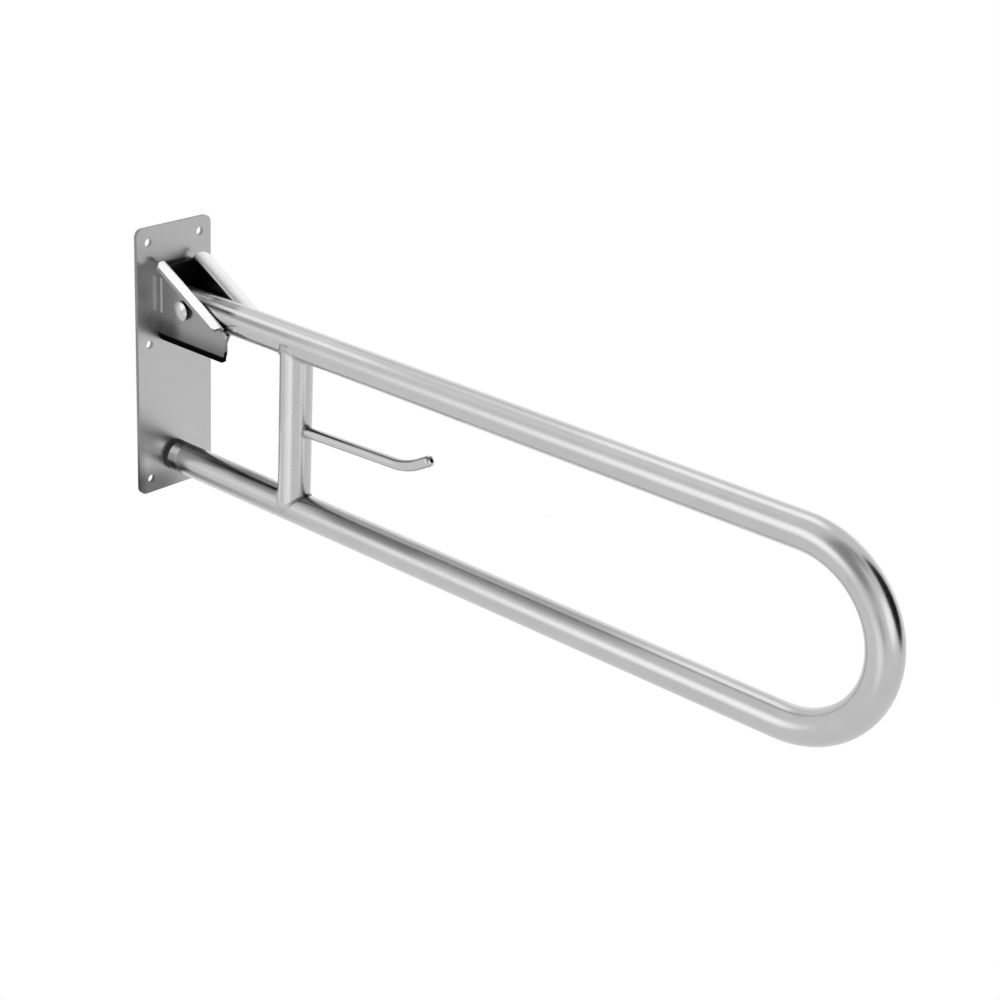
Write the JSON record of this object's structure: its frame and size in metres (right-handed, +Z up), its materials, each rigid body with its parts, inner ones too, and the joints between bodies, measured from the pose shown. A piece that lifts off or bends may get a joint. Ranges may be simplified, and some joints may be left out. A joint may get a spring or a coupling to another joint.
{
  "type": "swing-up grab bar",
  "caption": "Wall-mounted U-shaped tube grab bar that swings up about a bolt in a bent sheet bracket, with a brace post and a bent rod for a paper roll.",
  "frame": {"origin": "middle of the wall plate's back face, on the wall", "axes": "+X out of the wall along the level rail, +Z up, +Y to the nut's side of the hinge"},
  "size_m": [0.85, 0.095, 0.28],
  "materials": {
    "satin_steel": "satin ground sheet",
    "tube_steel": "fine satin tube",
    "rod_steel": "polished",
    "weld_steel": "cleaned weld",
    "bolt_steel": "bright turned",
    "bumper_rubber": "matte",
    "black_plastic": "fine grain",
    "bush_plastic": "matte",
    "nylon": "smooth"
  },
  "bodies": {
    "wall_side": {"wall_plate": "satin_steel", "hinge_bracket": "satin_steel", "tie_plate": "satin_steel", "bracket_welds": "weld_steel", "pivot_bolt": "bolt_steel", "nut_washer": "bolt_steel", "disc_springs": "bolt_steel", "lock_nut": "bolt_steel", "nut_insert": "nylon"},
    "bar": {"rail_tube": "tube_steel", "pivot_sleeve": "weld_steel", "pivot_bushings": "bush_plastic", "heel_cap": "black_plastic", "end_plug": "tube_steel", "bumper_stud": "bolt_steel", "stop_bumper": "bumper_rubber", "post_tube": "tube_steel", "post_welds": "weld_steel", "roll_rod": "rod_steel", "rod_weld": "weld_steel"}
  },
  "joints": [
    {"name": "swing_up", "type": "hinge", "parent": "wall_side", "child": "bar", "pos_m": [0.041, 0, 0.063], "axis": [0, -1, 0], "range_deg": [0, 90]}
  ]
}
